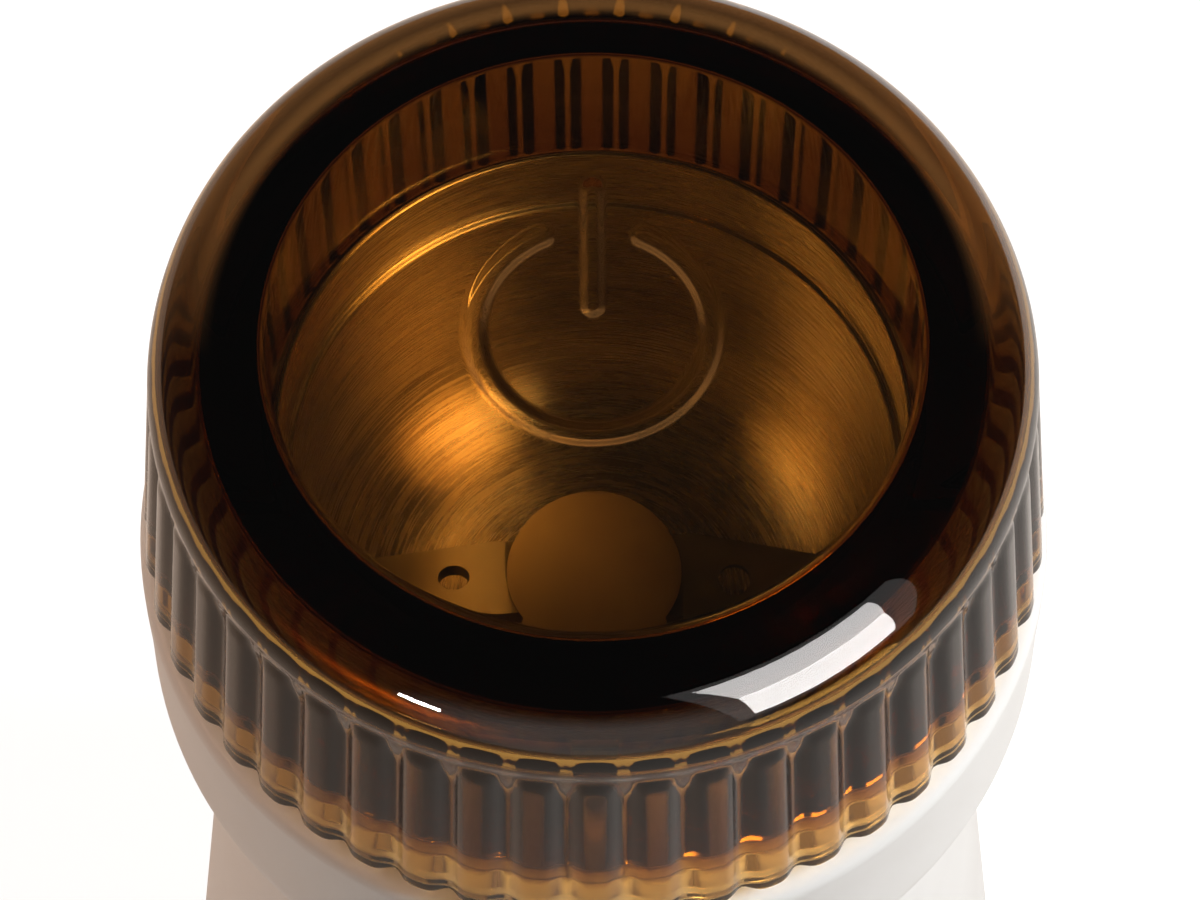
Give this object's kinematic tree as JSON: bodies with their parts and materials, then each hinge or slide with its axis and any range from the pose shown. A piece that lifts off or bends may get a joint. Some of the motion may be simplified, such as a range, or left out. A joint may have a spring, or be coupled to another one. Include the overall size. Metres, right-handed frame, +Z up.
{
  "type": "electric pill crusher",
  "caption": "Round electric pill crusher with a fluted amber press-to-run lid, a brushed steel bowl with a winged blade and domed hub, and a white tapered housing with its motor inside.",
  "frame": {"origin": "middle of the footprint, on the surface that the feet stand on", "axes": "+Z up along the motor shaft, the front toward -Y, the cord inlet toward +Y"},
  "size_m": [0.0966, 0.0966, 0.175],
  "materials": {
    "amber_plastic": "clear smoked amber",
    "white_plastic": "satin",
    "bowl_steel": "circular brushing",
    "blade_steel": "stamped",
    "hub_plastic": "matte",
    "black_plastic": "matte",
    "grey_plastic": "matte",
    "rubber": "matte",
    "steel": "ground",
    "zinc": "zinc plated",
    "aluminium": "cast",
    "lamination": "stacked sheet",
    "copper": "enamelled wire",
    "brass": "plain",
    "carbon": "pressed carbon",
    "red_plastic": "gloss"
  },
  "bodies": {
    "housing": {"collar": "white_plastic", "body_shell": "white_plastic", "base_cover": "white_plastic", "rubber_feet": "rubber", "base_screws": "zinc", "bowl": "bowl_steel", "bowl_gasket": "rubber", "bowl_washer": "rubber", "bowl_nut": "zinc", "shaft_seal": "rubber", "upper_bearing": "brass", "upper_bracket": "aluminium", "motor_dampers": "rubber", "motor_screws": "zinc", "stator_core": "lamination", "field_coils": "copper", "lower_bracket": "aluminium", "lower_bearing": "brass", "tie_bolts": "zinc", "brush_holders": "brass", "carbon_brushes": "carbon", "brush_springs": "steel", "carrier": "grey_plastic", "carrier_screws": "zinc", "plunger_spring": "steel", "switch_body": "black_plastic", "switch_terminals": "brass", "switch_screws": "zinc", "inlet_bush": "rubber"},
    "rotor": {"grinding_blade": "blade_steel", "blade_hub": "hub_plastic", "drive_shaft": "steel", "armature_core": "lamination", "armature_winding": "copper", "commutator": "copper", "shaft_clip": "steel", "cooling_fan": "black_plastic"},
    "plunger": {"switch_plunger": "white_plastic", "plunger_clip": "steel"},
    "lid": {"lid_cover": "amber_plastic"},
    "lever": {"switch_lever": "steel"},
    "button": {"switch_button": "red_plastic"}
  },
  "joints": [
    {"name": "plunger_press", "type": "slide", "parent": "housing", "child": "plunger", "axis": [0, 0, 1], "range_m": [-0.002, 0], "stiffness_N_per_m": 800, "springref_m": 0.004, "deforming": ["plunger_spring"]},
    {"name": "lid_lift", "type": "slide", "parent": "plunger", "child": "lid", "axis": [0, 0, 1], "range_m": [0, 0.06]},
    {"name": "rotor_spin", "type": "hinge", "parent": "housing", "child": "rotor", "pos_m": [0, 0, 0.1], "axis": [0, 0, 1], "continuous": true},
    {"name": "lever_tilt", "type": "hinge", "parent": "housing", "child": "lever", "pos_m": [-0.0136, -0.03642, 0.12784], "axis": [0, 1, 0], "range_deg": [0, 8.6]},
    {"name": "button_press", "type": "slide", "parent": "housing", "child": "button", "axis": [0, 0, 1], "range_m": [-0.0007, 0]}
  ],
  "couplings": [
    {"joint": "lever_tilt", "follows": "plunger_press", "rad_per_m": -73.529},
    {"joint": "button_press", "follows": "plunger_press", "ratio": 0.3015}
  ]
}
